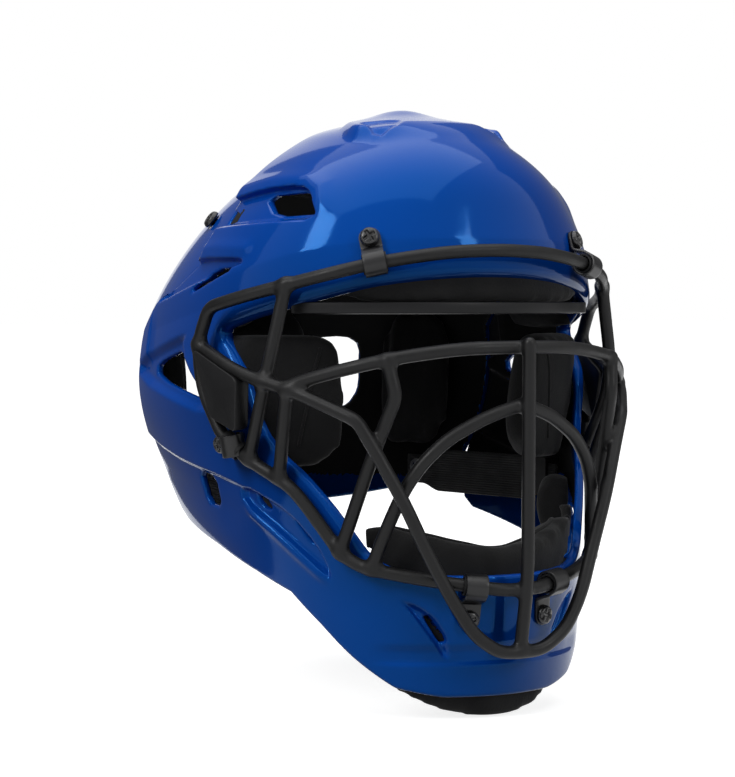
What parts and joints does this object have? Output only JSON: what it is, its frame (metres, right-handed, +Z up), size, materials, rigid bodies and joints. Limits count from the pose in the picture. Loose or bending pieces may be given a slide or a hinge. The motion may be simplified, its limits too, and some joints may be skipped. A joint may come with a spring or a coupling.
{
  "type": "catcher helmet",
  "caption": "Hockey style catcher helmet: glossy shell with a welded wire face guard, padded inside, and a sprung rear shell that tilts back to let the head in.",
  "frame": {"origin": "middle of the wearer's head, level with the ears, where the head seat mount is", "axes": "+X to the wearer's left, -Y the way the face looks, +Z up towards the crown"},
  "size_m": [0.2248, 0.2806, 0.2816],
  "materials": {
    "shell": "glossy royal blue",
    "side_plate": "satin black",
    "wire": "textured black powder coat",
    "sleeve": "matte black",
    "clip": "satin black",
    "screw": "black oxide",
    "hardware": "zinc plated",
    "brow_strip": "glossy black",
    "padding": "black brushed knit over foam",
    "elastic": "black woven elastic",
    "bracket": "black moulded plastic"
  },
  "bodies": {
    "front": {"brow_clip_l": "clip", "brow_clip_r": "clip", "brow_clip_sleeve_l": "sleeve", "brow_clip_sleeve_r": "sleeve", "brow_nuts": "hardware", "brow_screws": "screw", "brow_strip": "brow_strip", "cage_brow_wire": "wire", "cage_centre_bar": "wire", "cage_cheek_wire_l": "wire", "cage_cheek_wire_r": "wire", "cage_eye_bar": "wire", "cage_jaw_wire": "wire", "cage_lower_arc_l": "wire", "cage_lower_arc_r": "wire", "cage_outer_bar": "wire", "cage_side_plate_l": "side_plate", "cage_side_plate_r": "side_plate", "cage_temple_wire_l": "wire", "cage_temple_wire_r": "wire", "cheek_pad_l": "padding", "cheek_pad_r": "padding", "chin_clip_l": "clip", "chin_clip_r": "clip", "chin_clip_sleeve_l": "sleeve", "chin_clip_sleeve_r": "sleeve", "chin_cup": "padding", "chin_nuts": "hardware", "chin_pad": "padding", "chin_screws": "screw", "elastic_strap_l": "elastic", "elastic_strap_r": "elastic", "forehead_pad": "padding", "front_crown_pad": "padding", "front_shell": "shell", "jaw_pad_l": "padding", "jaw_pad_r": "padding", "pivot_bracket_l": "bracket", "pivot_bracket_r": "bracket", "pivot_nuts": "hardware", "pivot_screws": "screw", "pivot_washers": "hardware", "side_clip_l": "clip", "side_clip_r": "clip", "side_clip_sleeve_l": "sleeve", "side_clip_sleeve_r": "sleeve", "side_nuts": "hardware", "side_screws": "screw", "strap_keeper_l": "bracket", "strap_keeper_r": "bracket", "temple_pad_l": "padding", "temple_pad_r": "padding"},
    "rear": {"rear_crown_pad": "padding", "rear_pad": "padding", "rear_shell": "shell", "rear_side_pad_l": "padding", "rear_side_pad_r": "padding", "strap_studs": "hardware"}
  },
  "joints": [
    {"name": "rear_shell_tilt", "type": "hinge", "parent": "front", "child": "rear", "pos_m": [0, 0.0109, 0.0851], "axis": [1, 0, 0], "range_deg": [0, 8], "stiffness_Nm_per_rad": 6, "deforming": ["elastic_strap_l", "elastic_strap_r"]}
  ]
}
